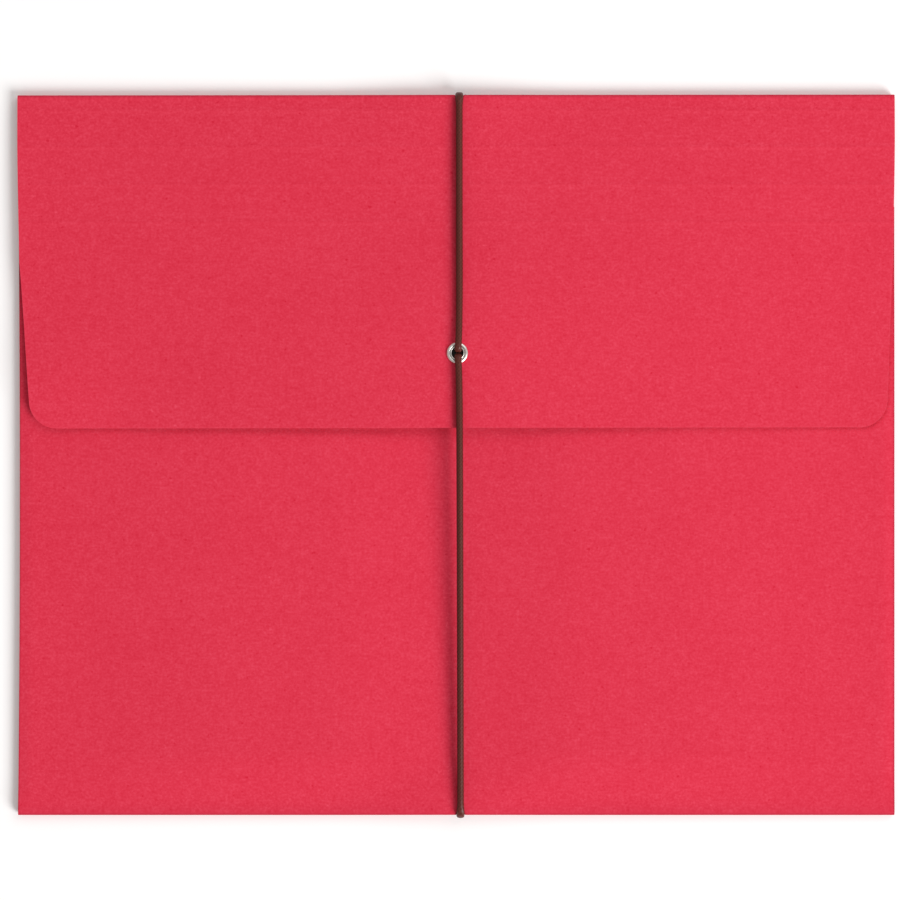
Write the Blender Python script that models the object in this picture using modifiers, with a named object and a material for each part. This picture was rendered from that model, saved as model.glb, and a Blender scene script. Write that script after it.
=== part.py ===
"""Expanding file wallet: a folded red paper body with pleated side gussets, a flap that closes over the
front, a metal eyelet in the flap and a round elastic cord that loops over the top and bottom edges.

The wallet lies on its back. X is its width, +Y points to the top fold and +Z up through its thickness.
The origin is under its middle, at the level of the surface it lies on. Units are metres.
"""

import math

import bmesh
import bpy
from mathutils import Matrix, Vector

MM = 0.001

# ---------------------------------------------------------------- driving dimensions, in millimetres
WIDTH = 298.5  # across the body
HEIGHT = 245.0  # top fold to bottom fold
SHEET = 0.45  # body sheet
POCKET = 4.5  # clear depth between back and front, closed, away from the edges
STACK = 2.6  # the same at the sides, where the folded gussets lie
GAP = 0.3  # clearance between neighbouring pieces

TROUGH = 2.75  # how far the cord under the wallet pushes the back in
TROUGH_HALF = 45.0  # half width of that trough
FOLD_HUMP = 1.3  # how far the folds rise over the cord
DENT = 1.5  # how far the cord pulls each fold in
DENT_FLAT = 1.5  # the dent has its full depth this far either side of the cord
DENT_HALF = 3.4

SIDE_FLAT = 146.0  # beyond this the front lies on the gussets
SIDE_RISE = 70.0  # inside this it has its full height
BOTTOM_RISE = 20.0  # the front climbs from the bottom fold over this length
TOP_DROP = 0.8  # the front comes down by this towards its top edge
TOP_DROP_FROM = 30.0
FRONT_DIP = 1.5  # the front sinks onto the trough under the cord

FLAP_DEPTH = 113.5  # top fold to the flap's lower edge
FLAP_STRAIGHT = 56.6  # the sides stay straight this far below the fold, then taper
FLAP_INSET_TOP = 0.4
FLAP_INSET_LEFT = 3.7  # at the lower corners
FLAP_INSET_RIGHT = 2.4
FLAP_CORNER = 9.5
FLAP_LIE = 0.7  # flap over front, mid-plane to mid-plane less one sheet, away from the eyelet
FLAP_RIDGE = 2.15  # further rise over the eyelet's rear side
FLAP_RIDGE_HALF = 100.0
FLAP_RIDGE_FROM = 97.5  # the ridge rises from here
FLAP_RIDGE_RUN = 57.0
FLAP_CLIMB = 80.0  # the flap climbs from the fold onto the pocket over this length
SCORES = [18.1 + 12.85 * k for k in range(3)]  # score lines, below the top fold
SCORE_DEPTH = 0.12
FOLD_THICK = 2.575  # top fold, mid-plane to mid-plane, at the sides

FRONT_DROP = 38.0  # the front's top edge lies this far below the top fold
LEAF_WIDTH = 22.0
LEAF = 0.22
LEAVES = 4

EYELET_X = 0.45
EYELET_DROP = 87.9  # below the top fold
EYELET_BORE = 1.95
EYELET_WALL = 0.4
EYELET_FLANGE = 3.6
EYELET_RISE = 0.65

CORD_R = 1.15
CORD_R_HOLE = 0.75
CORD_X_TOP = 0.9
CORD_X_BOTTOM = 1.5
CORD_X_HOLE = EYELET_X + 0.25  # the cord crosses the eyelet a little right of its middle
CORD_X_RUN = EYELET_X + 0.65

# ---------------------------------------------------------------- derived levels, in millimetres
TOP, BOTTOM = HEIGHT / 2, -HEIGHT / 2
Z_BACK = SHEET / 2  # mid-planes
Z_FRONT = SHEET + POCKET + SHEET / 2  # away from the edges
Z_FRONT_EDGE = SHEET + STACK + SHEET / 2
Z_FLAP_FOLD = Z_BACK + FOLD_THICK

R_TOP = FOLD_THICK / 2  # fold radii
R_BOTTOM = (Z_FRONT_EDGE - Z_BACK) / 2
Y_TOP_FOLD = TOP - SHEET / 2 - R_TOP
Y_BOTTOM_FOLD = BOTTOM + SHEET / 2 + R_BOTTOM
FRONT_LOW = Y_BOTTOM_FOLD + 3 * GAP
FRONT_TOP = TOP - FRONT_DROP
FLAP_START = Y_TOP_FOLD - GAP
FLAP_END = TOP - FLAP_DEPTH

FLAP_AXIS = Vector((0, Y_TOP_FOLD, 3.6))
FRONT_AXIS = Vector((0, Y_BOTTOM_FOLD, (Z_BACK + Z_FRONT_EDGE) / 2))
EYELET_Y = TOP - EYELET_DROP

# ---------------------------------------------------------------- scene
for old in list(bpy.data.objects):
    bpy.data.objects.remove(old, do_unlink=True)

parts = bpy.data.collections.new("expanding_file_wallet")
cutters = bpy.data.collections.new("expanding_file_wallet_cutters")
bpy.context.scene.collection.children.link(parts)
bpy.context.scene.collection.children.link(cutters)


def material(name, color, roughness, metallic=0.0):
    m = bpy.data.materials.new(name)
    m.use_nodes = True
    shader = m.node_tree.nodes["Principled BSDF"]
    shader.inputs["Base Color"].default_value = (*color, 1)
    shader.inputs["Roughness"].default_value = roughness
    shader.inputs["Metallic"].default_value = metallic
    return m


RED_PAPER = material("red_paper", (0.72, 0.035, 0.075), 0.85)
GUSSET_PAPER = material("gusset_paper", (0.62, 0.03, 0.06), 0.9)
NICKEL = material("nickel", (0.75, 0.74, 0.72), 0.28, 1.0)
BROWN_ELASTIC = material("brown_elastic", (0.045, 0.018, 0.016), 0.75)


def hinge(name, at):
    empty = bpy.data.objects.new(name, None)
    empty.location = at * MM
    parts.objects.link(empty)
    bpy.context.view_layer.update()
    return empty


def place(obj, mat, parent=None, collection=parts):
    for c in list(obj.users_collection):
        c.objects.unlink(obj)
    collection.objects.link(obj)
    obj.data.materials.clear()
    obj.data.materials.append(mat)
    if parent is not None:
        bpy.context.view_layer.update()
        obj.parent = parent
        obj.matrix_parent_inverse = parent.matrix_world.inverted()
    return obj


def smooth(obj, degrees=40):
    obj.data.shade_smooth()
    obj.data.set_sharp_from_angle(angle=math.radians(degrees))


# ---------------------------------------------------------------- shape rules
def bump(x, centre, half):
    """1 at the centre, easing to 0 at half on either side."""
    d = abs(x - centre)
    return 0.5 * (1 + math.cos(math.pi * d / half)) if d < half else 0.0


def ease(t):
    """0 below 0, 1 above 1, smooth between."""
    t = min(max(t, 0.0), 1.0)
    return t * t * (3 - 2 * t)


def inward(x):
    """0 over the gussets at the sides, 1 across the middle."""
    return ease((SIDE_FLAT - abs(x)) / (SIDE_FLAT - SIDE_RISE))


def back_level(x):
    """Mid-plane height of the back panel, raised over the cord."""
    return Z_BACK + TROUGH * bump(x, 0.0, TROUGH_HALF)


def pocket_level(x):
    """Mid-plane height of the front over the pocket, before it dips: low at the sides, full across the middle."""
    return Z_FRONT_EDGE + (Z_FRONT - Z_FRONT_EDGE) * inward(x)


def front_level(x, y):
    """Mid-plane height of the front: low at the sides and both ends, and sunk along the cord."""
    edge = Z_FRONT_EDGE + FOLD_HUMP * bump(x, 0.0, TROUGH_HALF)
    full = pocket_level(x) - FRONT_DIP * bump(x, 0.0, TROUGH_HALF)
    full -= TOP_DROP * inward(x) * (1 - bump(x, 0.0, TROUGH_HALF)) * ease((y - TOP_DROP_FROM) / (FRONT_TOP - TOP_DROP_FROM))
    return edge + (full - edge) * ease((y - Y_BOTTOM_FOLD) / BOTTOM_RISE)


def fold_level(x):
    """Mid-plane height of the flap where it leaves the top fold."""
    return Z_FLAP_FOLD + FOLD_HUMP * bump(x, 0.0, TROUGH_HALF)


def settle(t):
    """0 at 0, fast at first and level from 1 on."""
    t = min(max(t, 0.0), 1.0)
    return 1 - (1 - t) ** 2


def flap_level(x, y):
    """Mid-plane height of the flap: it climbs from the fold onto the front, and over the eyelet's rear side."""
    start = fold_level(x)
    side = Z_FRONT_EDGE + SHEET + FLAP_LIE - 0.25
    lie = pocket_level(x) + SHEET + FLAP_LIE - 0.25
    lie += FLAP_RIDGE * bump(x, EYELET_X, FLAP_RIDGE_HALF) * ease((FLAP_RIDGE_FROM - y) / FLAP_RIDGE_RUN)
    near = settle((FLAP_START - y) / (FLAP_START - FRONT_TOP))
    return start + (side - start) * near + (lie - side) * settle((FLAP_START - y) / FLAP_CLIMB)


def dent(x, cord_x):
    """How far a fold is pulled in by the cord."""
    return DENT * ease((DENT_HALF - abs(x - cord_x)) / (DENT_HALF - DENT_FLAT))


def cross(u):
    """Width position for u in -1..1, closer together near the cord."""
    return WIDTH / 2 * (0.3 * u + 0.7 * u * abs(u))


def grid_sheet(name, columns, rows, rule, thickness, mat, parent=None):
    """An open sheet from a grid primitive, shaped by rule(u, v) with u and v in -1..1, then thickened."""
    mesh = bpy.data.meshes.new(name)
    bm = bmesh.new()
    bmesh.ops.create_grid(bm, x_segments=columns, y_segments=rows, size=1.0)
    for v in bm.verts:
        v.co = Vector(rule(v.co.x, v.co.y)) * MM
    bm.to_mesh(mesh)
    bm.free()
    obj = bpy.data.objects.new(name, mesh)
    place(obj, mat, parent)
    solid = obj.modifiers.new("thickness", "SOLIDIFY")
    solid.thickness = thickness * MM
    solid.offset = 0.0
    smooth(obj)
    return obj


def outline(name, loops, thickness, level, mat, parent=None):
    """A flat piece from closed outlines in the XY plane; inner outlines are holes."""
    curve = bpy.data.curves.new(name, "CURVE")
    curve.dimensions = "2D"
    curve.fill_mode = "BOTH"
    curve.extrude = thickness * MM / 2
    for loop in loops:
        spline = curve.splines.new("POLY")
        spline.points.add(len(loop) - 1)
        for p, (x, y) in zip(spline.points, loop):
            p.co = (x * MM, y * MM, 0, 1)
        spline.use_cyclic_u = True
    flat = bpy.data.objects.new(name + "_outline", curve)
    flat.location = (0, 0, level * MM)
    parts.objects.link(flat)
    bpy.context.view_layer.update()
    graph = bpy.context.evaluated_depsgraph_get()
    mesh = bpy.data.meshes.new_from_object(flat.evaluated_get(graph))
    mesh.name = name
    world = flat.matrix_world.copy()
    bpy.data.objects.remove(flat, do_unlink=True)
    bm = bmesh.new()
    bm.from_mesh(mesh)
    bmesh.ops.remove_doubles(bm, verts=bm.verts, dist=1e-6)
    bmesh.ops.recalc_face_normals(bm, faces=bm.faces)
    bm.to_mesh(mesh)
    bm.free()
    obj = bpy.data.objects.new(name, mesh)
    obj.matrix_world = world
    return place(obj, mat, parent)


def arc(cx, cy, r, start, stop, steps):
    return [
        (
            cx + r * math.cos(math.radians(start + (stop - start) * k / steps)),
            cy + r * math.sin(math.radians(start + (stop - start) * k / steps)),
        )
        for k in range(steps + 1)
    ]


def circle(cx, cy, r, steps):
    return arc(cx, cy, r, 0, 360, steps)[:-1]


def turned(name, profile, at, mat, parent=None, steps=28):
    """A ring turned about Z from a closed profile of (radius, height), outer side first, top to bottom."""
    mesh = bpy.data.meshes.new(name)
    bm = bmesh.new()
    verts = [bm.verts.new((r * MM, 0, z * MM)) for r, z in profile]
    for a, b in zip(verts, verts[1:] + verts[:1]):
        bm.edges.new((a, b))
    bm.to_mesh(mesh)
    bm.free()
    obj = bpy.data.objects.new(name, mesh)
    obj.location = at * MM
    place(obj, mat, parent)
    screw = obj.modifiers.new("turn", "SCREW")
    screw.axis = "Z"
    screw.angle = math.tau
    screw.steps = screw.render_steps = steps
    screw.use_merge_vertices = True
    screw.merge_threshold = 1e-5
    screw.use_smooth_shade = True
    return obj


def smooth_route(points, step):
    """Points of a smooth curve through the given ones, (x, y, z, radius), about step apart."""
    out = []
    last = len(points) - 1
    for k in range(last):
        p0, p1 = points[max(k - 1, 0)], points[k]
        p2, p3 = points[k + 1], points[min(k + 2, last)]
        chord = [math.dist(a[:3], b[:3]) ** 0.5 for a, b in ((p0, p1), (p1, p2), (p2, p3))]
        n = max(2, round(math.dist(p1[:3], p2[:3]) / step))
        for j in range(n):
            t = j / n
            row = []
            for c in range(4):
                # centripetal tangents keep the curve from swinging wide beside the long runs
                m1 = (p2[c] - p1[c]) / chord[1]
                m2 = m1
                if chord[0] > 0:
                    m1 = (p1[c] - p0[c]) / chord[0] - (p2[c] - p0[c]) / (chord[0] + chord[1]) + m1
                if chord[2] > 0:
                    m2 = m2 - (p3[c] - p1[c]) / (chord[1] + chord[2]) + (p3[c] - p2[c]) / chord[2]
                m1, m2 = m1 * chord[1], m2 * chord[1]
                row.append(
                    (2 * t**3 - 3 * t**2 + 1) * p1[c]
                    + (t**3 - 2 * t**2 + t) * m1
                    + (3 * t**2 - 2 * t**3) * p2[c]
                    + (t**3 - t**2) * m2
                )
            out.append(row)
    return out + [list(points[-1])]


# ---------------------------------------------------------------- hinges
flap_hinge = hinge("flap_hinge", FLAP_AXIS)
front_hinge = hinge("front_hinge", FRONT_AXIS)

# ---------------------------------------------------------------- body sheet
COLUMNS = 56


def back_rule(u, v):
    x = cross(u)
    low = Y_BOTTOM_FOLD + GAP + dent(x, CORD_X_BOTTOM)
    high = Y_TOP_FOLD - GAP - dent(x, CORD_X_TOP)
    return x, low + (high - low) * (v + 1) / 2, back_level(x)


def front_rule(u, v):
    x, t = cross(u), (v + 1) / 2
    low = FRONT_LOW + dent(x, CORD_X_BOTTOM)
    y = low + (FRONT_TOP - low) * (0.25 * t + 0.75 * t * t)
    return x, y, front_level(x, y)


def top_fold_rule(u, v):
    x, a = cross(u), v * math.pi / 2
    low, high = back_level(x), fold_level(x)
    y = Y_TOP_FOLD - dent(x, CORD_X_TOP) + R_TOP * math.cos(a)
    return x, y, (low + high) / 2 + (high - low) / 2 * math.sin(a)


def bottom_fold_rule(u, v):
    x, a = cross(u), v * math.pi / 2
    low, high = back_level(x), front_level(x, Y_BOTTOM_FOLD)
    y = Y_BOTTOM_FOLD + dent(x, CORD_X_BOTTOM) - R_BOTTOM * math.cos(a)
    return x, y, (low + high) / 2 + (high - low) / 2 * math.sin(a)


back_panel = grid_sheet("back_panel", COLUMNS, 1, back_rule, SHEET, RED_PAPER)
top_fold = grid_sheet("top_fold", COLUMNS, 6, top_fold_rule, SHEET, RED_PAPER)
bottom_fold = grid_sheet("bottom_fold", COLUMNS, 6, bottom_fold_rule, SHEET, RED_PAPER)
front_panel = grid_sheet("front_panel", COLUMNS, 10, front_rule, SHEET, RED_PAPER, front_hinge)

# ---------------------------------------------------------------- flap
half = WIDTH / 2
taper_y = TOP - FLAP_STRAIGHT


def flap_side(y, inset):
    """How far the flap's side lies inside the body's at height y, with the round lower corner."""
    t = min(max((taper_y - y) / (taper_y - FLAP_END - FLAP_CORNER), 0.0), 1.0)
    side = FLAP_INSET_TOP + (inset - FLAP_INSET_TOP) * t
    h = FLAP_END + FLAP_CORNER - y
    if h > 0:
        side += FLAP_CORNER - math.sqrt(max(FLAP_CORNER**2 - h**2, 0.0))
    return side


# heights of the flap's rows, from the lower edge to the fold: round corners, plain field, score lines, climb
flap_rows = [FLAP_END + FLAP_CORNER * (1 - math.cos(math.pi / 2 * k / 6)) for k in range(6)]
flap_rows += [FLAP_END + FLAP_CORNER + (TOP - SCORES[2] - 2 - FLAP_END - FLAP_CORNER) * k / 5 for k in range(6)]
for drop in reversed(SCORES):
    flap_rows += [TOP - drop - 0.4, TOP - drop, TOP - drop + 0.4]
flap_rows += [TOP - SCORES[0] + 4.0 + (FLAP_START - TOP + SCORES[0] - 4.0) * k / 4 for k in range(5)]


def flap_rule(u, v):
    y = flap_rows[round((v + 1) / 2 * (len(flap_rows) - 1))]
    left, right = -half + flap_side(y, FLAP_INSET_LEFT), half - flap_side(y, FLAP_INSET_RIGHT)
    x = (left + right) / 2 + (right - left) / 2 * cross(u) / half
    z = flap_level(x, y)
    if any(abs(TOP - drop - y) < 0.01 for drop in SCORES):
        z -= SCORE_DEPTH
    if y > FLAP_START - 0.01:
        y -= dent(x, CORD_X_TOP)
    return x, y, z


flap = grid_sheet("flap", COLUMNS, len(flap_rows) - 1, flap_rule, SHEET, RED_PAPER, flap_hinge)
bpy.ops.mesh.primitive_cylinder_add(
    vertices=24, radius=(EYELET_BORE + EYELET_WALL + GAP) * MM, depth=6 * MM
)
hole_cutter = bpy.context.object
hole_cutter.name = "eyelet_hole_cutter"
EYELET_Z = flap_level(EYELET_X, EYELET_Y)
hole_cutter.location = Vector((EYELET_X, EYELET_Y, EYELET_Z)) * MM
place(hole_cutter, RED_PAPER, None, cutters)
hole_cutter.hide_render = True
hole_cutter.display_type = "WIRE"
hole = flap.modifiers.new("eyelet_hole", "BOOLEAN")
hole.operation = "DIFFERENCE"
hole.object = hole_cutter

# ---------------------------------------------------------------- gussets
LEAF_LOW = Y_BOTTOM_FOLD + 5 * GAP
LEAF_TOP = FRONT_TOP - 0.5
LAYER_GAP = (STACK - (LEAVES + 2) * LEAF) / (LEAVES + 3)
first = SHEET + LAYER_GAP + LEAF / 2  # mid-plane of the tab glued to the back
last = SHEET + STACK - LAYER_GAP - LEAF / 2  # mid-plane of the tab glued to the front
leaf_hinges = [hinge(f"gusset_hinge_{k + 1}", FRONT_AXIS) for k in range(LEAVES)]


def gusset_panel(name, side, level, parent=None):
    outer, inner = half - GAP, half - LEAF_WIDTH
    xs = sorted((side * outer, side * inner))
    loop = [(xs[0], LEAF_LOW), (xs[1], LEAF_LOW), (xs[1], LEAF_TOP), (xs[0], LEAF_TOP)]
    return outline(name, [loop], LEAF, level, GUSSET_PAPER, parent)


for side, word in ((-1, "left"), (1, "right")):
    gusset_panel(f"{word}_gusset_rear_tab", side, first)
    for k in range(LEAVES):
        level = first + (last - first) * (k + 1) / (LEAVES + 1)
        gusset_panel(f"{word}_gusset_leaf_{k + 1}", side, level, leaf_hinges[k])
    gusset_panel(f"{word}_gusset_front_tab", side, last, front_hinge)

# ---------------------------------------------------------------- eyelet, washer and cord clip
SEAT = 0.2  # eyelet flange above the flap
WASHER = 0.3
FLAP_TOP_Z = EYELET_Z + SHEET / 2
FLAP_LOW_Z = EYELET_Z - SHEET / 2
FLANGE_LOW = FLAP_TOP_Z + SEAT
FLANGE_TOP = FLANGE_LOW + EYELET_RISE
WASHER_TOP = FLAP_LOW_Z - 0.25
WASHER_LOW = WASHER_TOP - WASHER
ROLL_TOP = WASHER_LOW - 0.25
ROLL_LOW = ROLL_TOP - 0.45
barrel = EYELET_BORE + EYELET_WALL
roll = barrel + 0.75

dome = [
    (
        EYELET_BORE + (EYELET_FLANGE - EYELET_BORE) * (1 - math.cos(a)) / 2,
        FLANGE_LOW + EYELET_RISE * (0.45 + 0.55 * math.sin(a)),
    )
    for a in (math.pi * k / 8 for k in range(9))
]
eyelet_profile = (
    dome
    + [(EYELET_FLANGE, FLANGE_LOW), (barrel, FLANGE_LOW), (barrel, ROLL_TOP), (roll, ROLL_TOP)]
    + [(roll, ROLL_LOW + 0.2), (roll - 0.25, ROLL_LOW), (EYELET_BORE + 0.25, ROLL_LOW), (EYELET_BORE, ROLL_LOW + 0.2)]
)
eyelet_at = Vector((EYELET_X, EYELET_Y, 0))
eyelet = turned("eyelet", eyelet_profile, eyelet_at, NICKEL, flap_hinge)
washer_out, washer_in = 4.0, barrel + GAP
eyelet_washer = turned(
    "eyelet_washer",
    [(washer_out, WASHER_TOP), (washer_out, WASHER_LOW), (washer_in, WASHER_LOW), (washer_in, WASHER_TOP)],
    eyelet_at,
    NICKEL,
    flap_hinge,
)

CRIMP_TOP = ROLL_LOW - 0.25
CRIMP_LOW = CRIMP_TOP - 0.85
bpy.ops.mesh.primitive_cube_add(size=1.0)
cord_crimp = bpy.context.object
cord_crimp.name = "cord_crimp"
cord_crimp.data.transform(Matrix.Diagonal((5.0 * MM, 7.0 * MM, (CRIMP_TOP - CRIMP_LOW) * MM, 1)))
cord_crimp.location = Vector((EYELET_X, EYELET_Y, (CRIMP_TOP + CRIMP_LOW) / 2)) * MM
place(cord_crimp, NICKEL, flap_hinge)
rounding = cord_crimp.modifiers.new("rounding", "BEVEL")
rounding.width = 0.25 * MM
rounding.segments = 2

# ---------------------------------------------------------------- elastic cord
# The route starts at the clip, comes up through the eyelet, runs over the top fold, down the back, round
# the bottom fold, up the front and back through the eyelet to the clip.
CLEAR = GAP + CORD_R + SHEET / 2  # from a sheet's mid-plane to the cord's middle
z_fold_run = fold_level(CORD_X_TOP) + CLEAR
z_back_run = back_level(0) - CLEAR
z_front_run = front_level(CORD_X_BOTTOM, Y_BOTTOM_FOLD) + CLEAR
z_lip_run = flap_level(EYELET_X, FLAP_END) + CLEAR
strand = 0.95  # each strand's offset from the eyelet's axis
z_end = CRIMP_TOP + GAP
z_over = FLANGE_TOP + 0.3 + CORD_R_HOLE + 0.15


def lead_in(sign):
    """From the clip up through the eyelet and out over its flange, towards sign in Y."""
    y = EYELET_Y
    r = CORD_R_HOLE
    bend = 1.35
    x = CORD_X_HOLE
    rows = [(x, y + sign * strand, z_end, r), (x, y + sign * strand, z_over - bend - 0.8, r)]
    for k in range(4):
        a = math.pi / 2 * k / 3
        rows.append((x, y + sign * (strand + bend * (1 - math.cos(a))), z_over - bend * (1 - math.sin(a)), r))
    rows.append(((x + CORD_X_RUN) / 2, y + sign * 5.2, z_over - 0.1, r + 0.18))
    return rows


def wrap(y_centre, radius, z_from, z_to, side, x):
    """Round a fold, from one level to the other."""
    mid, high = (z_from + z_to) / 2, (z_from - z_to) / 2
    rows = []
    for k in range(7):
        a = math.pi / 2 - math.pi * k / 6
        y = y_centre - side * DENT + side * (radius + CLEAR) * math.cos(a)
        rows.append((x, y, mid + high * math.sin(a), CORD_R))
    return rows


climb = flap_level(EYELET_X, FRONT_TOP) + CLEAR + 0.3
route = lead_in(1)
route.append((CORD_X_RUN, EYELET_Y + 16, flap_level(EYELET_X, EYELET_Y + 16) + CLEAR + 0.15, CORD_R))
route.append((CORD_X_TOP, FRONT_TOP, climb, CORD_R))
route += wrap(Y_TOP_FOLD, R_TOP, z_fold_run, z_back_run, 1, CORD_X_TOP)
route.append((CORD_X_TOP, Y_TOP_FOLD - 9, z_back_run, CORD_R))
route.append((CORD_X_BOTTOM, Y_BOTTOM_FOLD + 9, z_back_run, CORD_R))
route += wrap(Y_BOTTOM_FOLD, R_BOTTOM, z_back_run, z_front_run, -1, CORD_X_BOTTOM)
route.append((CORD_X_BOTTOM, Y_BOTTOM_FOLD + 9, z_front_run + 0.25, CORD_R))
route.append((CORD_X_RUN + 0.1, FLAP_END - 2, z_lip_run + 0.05, CORD_R))
route.append((CORD_X_RUN, EYELET_Y - 15, flap_level(EYELET_X, EYELET_Y - 15) + CLEAR + 0.1, CORD_R))
route += lead_in(-1)[::-1]

cord_curve = bpy.data.curves.new("elastic_cord", "CURVE")
cord_curve.dimensions = "3D"
cord_curve.bevel_depth = MM
cord_curve.bevel_resolution = 2
cord_curve.use_fill_caps = True
rows = smooth_route(route, 16.0)
spline = cord_curve.splines.new("POLY")
spline.points.add(len(rows) - 1)
for p, (x, y, z, r) in zip(spline.points, rows):
    p.co = (x * MM, y * MM, z * MM, 1)
    p.radius = r
elastic_cord = bpy.data.objects.new("elastic_cord", cord_curve)
place(elastic_cord, BROWN_ELASTIC, flap_hinge)
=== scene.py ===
"""Looks of the expanding file wallet: red paper body with pleated gussets, scored flap, metal eyelet and a
braided elastic cord. It lies flat and is seen from straight above. Lengths are worked out in millimetres."""

import math

import bpy
import numpy as np
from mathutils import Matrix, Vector


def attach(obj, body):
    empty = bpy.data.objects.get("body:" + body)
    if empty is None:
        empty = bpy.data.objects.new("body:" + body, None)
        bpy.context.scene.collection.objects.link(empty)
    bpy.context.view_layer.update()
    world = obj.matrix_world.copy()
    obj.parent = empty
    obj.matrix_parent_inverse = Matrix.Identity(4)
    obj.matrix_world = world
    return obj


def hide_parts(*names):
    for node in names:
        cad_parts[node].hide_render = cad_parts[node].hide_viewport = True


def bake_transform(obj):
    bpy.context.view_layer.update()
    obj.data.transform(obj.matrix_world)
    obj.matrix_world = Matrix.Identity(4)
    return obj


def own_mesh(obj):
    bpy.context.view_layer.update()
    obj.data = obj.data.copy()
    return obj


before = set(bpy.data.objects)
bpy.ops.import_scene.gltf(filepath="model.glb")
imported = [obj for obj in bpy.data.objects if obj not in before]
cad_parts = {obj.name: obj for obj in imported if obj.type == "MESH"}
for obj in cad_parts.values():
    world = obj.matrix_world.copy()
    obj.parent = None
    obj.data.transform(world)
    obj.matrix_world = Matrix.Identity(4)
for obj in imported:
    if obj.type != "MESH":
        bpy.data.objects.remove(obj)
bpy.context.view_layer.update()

MM = 0.001

# ------------------------------------------------------------------ sizes and levels of the frame, in millimetres
WIDTH, HEIGHT, SHEET = 298.5, 245.0, 0.45
HALF = WIDTH / 2
TROUGH, TROUGH_HALF, FOLD_HUMP = 2.75, 45.0, 1.3
DENT, DENT_FLAT, DENT_HALF = 1.5, 1.1, 1.6
SIDE_FLAT, SIDE_RISE, BOTTOM_RISE = 146.0, 70.0, 20.0
TOP = HEIGHT / 2
Z_BACK, Z_FRONT, Z_FRONT_EDGE, Z_FLAP_FOLD = 0.225, 5.175, 3.275, 3.6
R_TOP, R_BOTTOM = 1.2875, 1.525
Y_TOP_FOLD, Y_BOTTOM_FOLD = 120.9875, -120.75
FRONT_TOP, FLAP_START, FLAP_END = 84.5, 120.6875, 9.25
TOP_DROP, TOP_DROP_FROM, FRONT_DIP = 0.8, 30.0, 1.5
TAPER_Y, FLAP_CORNER = 65.9, 9.5
INSET_TOP, INSET_LEFT, INSET_RIGHT = 0.8, 4.25, 2.5
SCORE_DROPS = (5.6, 18.1, 30.95, 43.8)
EYELET = (0.45, 34.6)
HOLE = 2.65
CORD_R, CORD_R_HOLE, CORD_X_TOP, CORD_X_BOTTOM = 1.15, 0.75, 1.1, 1.5
STACK, LEAF, LEAF_WIDTH = 2.6, 0.22, 22.0


def bump(x, centre, half):
    d = np.minimum(np.abs(x - centre) / half, 1.0)
    return 0.5 * (1 + np.cos(np.pi * d))


def ease(t):
    t = np.clip(t, 0.0, 1.0)
    return t * t * (3 - 2 * t)


def back_level(x):
    return Z_BACK + TROUGH * bump(x, 0.0, TROUGH_HALF)


def inward(x):
    return ease((SIDE_FLAT - np.abs(x)) / (SIDE_FLAT - SIDE_RISE))


def pocket_level(x):
    return Z_FRONT_EDGE + (Z_FRONT - Z_FRONT_EDGE) * inward(x)


def front_level(x, y):
    sunk = bump(x, 0.0, TROUGH_HALF)
    edge = Z_FRONT_EDGE + FOLD_HUMP * sunk
    full = pocket_level(x) - FRONT_DIP * sunk
    full = full - TOP_DROP * inward(x) * (1 - sunk) * ease((y - TOP_DROP_FROM) / (FRONT_TOP - TOP_DROP_FROM))
    return edge + (full - edge) * ease((y - Y_BOTTOM_FOLD) / BOTTOM_RISE)


def fold_level(x):
    return Z_FLAP_FOLD + FOLD_HUMP * bump(x, 0.0, TROUGH_HALF)


def settle(t):
    return 1 - (1 - np.clip(t, 0.0, 1.0)) ** 2


def flap_level(x, y):
    start = fold_level(x)
    side = Z_FRONT_EDGE + SHEET + 0.45
    lie = pocket_level(x) + SHEET + 0.45
    lie = lie + 2.15 * bump(x, EYELET[0], 100.0) * ease((97.5 - y) / 57.0)
    near = settle((FLAP_START - y) / (FLAP_START - FRONT_TOP))
    return start + (side - start) * near + (lie - side) * settle((FLAP_START - y) / 80.0)


def dent(x, cord_x):
    return DENT * ease((DENT_HALF - np.abs(x - cord_x)) / (DENT_HALF - DENT_FLAT))


def flap_taper(y, inset):
    t = np.clip((TAPER_Y - y) / (TAPER_Y - FLAP_END - FLAP_CORNER), 0, 1)
    return INSET_TOP * ease((112 - y) / 60) + (inset - INSET_TOP) * t


def flap_side(y, inset):
    h = np.clip(FLAP_END + FLAP_CORNER - y, 0, FLAP_CORNER)
    return flap_taper(y, inset) + FLAP_CORNER - np.sqrt(np.maximum(FLAP_CORNER**2 - h**2, 0))


def flap_tilt(x, y):
    return 0.22 * x / HALF * ease((60 - y) / 40)


def off_flap(x, y):
    """Distance outside the flap's outline, negative below the flap."""
    y = y - flap_tilt(x, y)
    across = np.abs(x) - HALF + np.where(x < 0, flap_taper(y, INSET_LEFT), flap_taper(y, INSET_RIGHT)) + FLAP_CORNER
    down = FLAP_END + FLAP_CORNER - y
    return np.hypot(np.maximum(across, 0), np.maximum(down, 0)) + np.minimum(np.maximum(across, down), 0) - FLAP_CORNER


def ripple(x, y, seed, size):
    """Slow uneven waves, as a stiff paper sheet keeps them."""
    rng = np.random.RandomState(seed)
    out = 0.0
    for _ in range(7):
        turn, wave, shift = rng.uniform(0, np.pi), rng.uniform(45, 120), rng.uniform(0, 2 * np.pi)
        out = out + np.sin(2 * np.pi * (x * np.cos(turn) + y * np.sin(turn)) / wave + shift)
    return size * out / 7


def bow(x, y):
    """The left edge bows in a little at mid-height."""
    return x + 0.75 * np.clip(-x / HALF, 0, 1) ** 6 * (1 - np.clip((y + 12) / 122.0, -1, 1) ** 2)


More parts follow.
